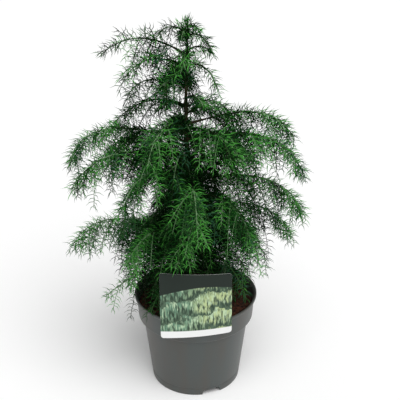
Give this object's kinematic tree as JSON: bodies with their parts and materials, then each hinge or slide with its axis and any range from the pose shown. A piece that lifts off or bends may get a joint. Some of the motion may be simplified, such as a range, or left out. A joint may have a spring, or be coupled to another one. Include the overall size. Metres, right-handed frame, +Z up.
{
  "type": "potted weeping japanese cedar (elegans viridis)",
  "caption": "Young Japanese cedar with arching, drooping boughs of soft green needles, in a round grey nursery pot with a picture card hooked over its rim.",
  "frame": {"origin": "on the floor at the middle of the pot's flat underside", "axes": "+Z up, along the trunk; the picture card is on the -Y side; +X is to the right of a viewer who faces the card"},
  "size_m": [0.4193, 0.3423, 0.6791],
  "materials": {
    "grey_plastic": "satin",
    "peat": "matte",
    "printed_card": "satin",
    "bark": "matte",
    "foliage": "matte"
  },
  "bodies": {
    "root": {"pot": "grey_plastic", "soil": "peat", "picture_card": "printed_card", "trunk": "bark", "bough_top_left": "bark", "bough_wide_left": "bark", "bough_drooping_left": "bark", "bough_low_left": "bark", "bough_skirt_left": "bark", "bough_wide_right": "bark", "bough_outer_right": "bark", "bough_mid_right": "bark", "bough_low_right": "bark", "bough_skirt_right": "bark", "bough_front_right_upper": "bark", "bough_front_left_mid": "bark", "bough_front_centre": "bark", "bough_front_right_mid": "bark", "bough_front_left_low": "bark", "bough_back_left_mid": "bark", "bough_back_mid": "bark", "bough_back_right_mid": "bark", "bough_back_left_low": "bark", "bough_back_right_low": "bark", "needles_top_left": "foliage", "needles_wide_left": "foliage", "needles_drooping_left": "foliage", "needles_low_left": "foliage", "needles_skirt_left": "foliage", "needles_wide_right": "foliage", "needles_outer_right": "foliage", "needles_mid_right": "foliage", "needles_low_right": "foliage", "needles_skirt_right": "foliage", "needles_front_right_upper": "foliage", "needles_front_left_mid": "foliage", "needles_front_centre": "foliage", "needles_front_right_mid": "foliage", "needles_front_left_low": "foliage", "needles_back_left_mid": "foliage", "needles_back_mid": "foliage", "needles_back_right_mid": "foliage", "needles_back_left_low": "foliage", "needles_back_right_low": "foliage", "needles_top_front": "foliage", "needles_upper_left": "foliage", "needles_high_left": "foliage", "needles_shoulder_left": "foliage", "needles_top_right": "foliage", "needles_high_right": "foliage", "needles_front_top": "foliage", "needles_back_top_left": "foliage", "needles_back_top_right": "foliage", "needles_front_left_upper": "foliage", "needles_inner_front": "foliage", "needles_front_low": "foliage", "needles_back_low": "foliage", "needles_front_right_low": "foliage", "needles_front_sprig": "foliage", "needles_leader": "foliage"}
  },
  "joints": []
}
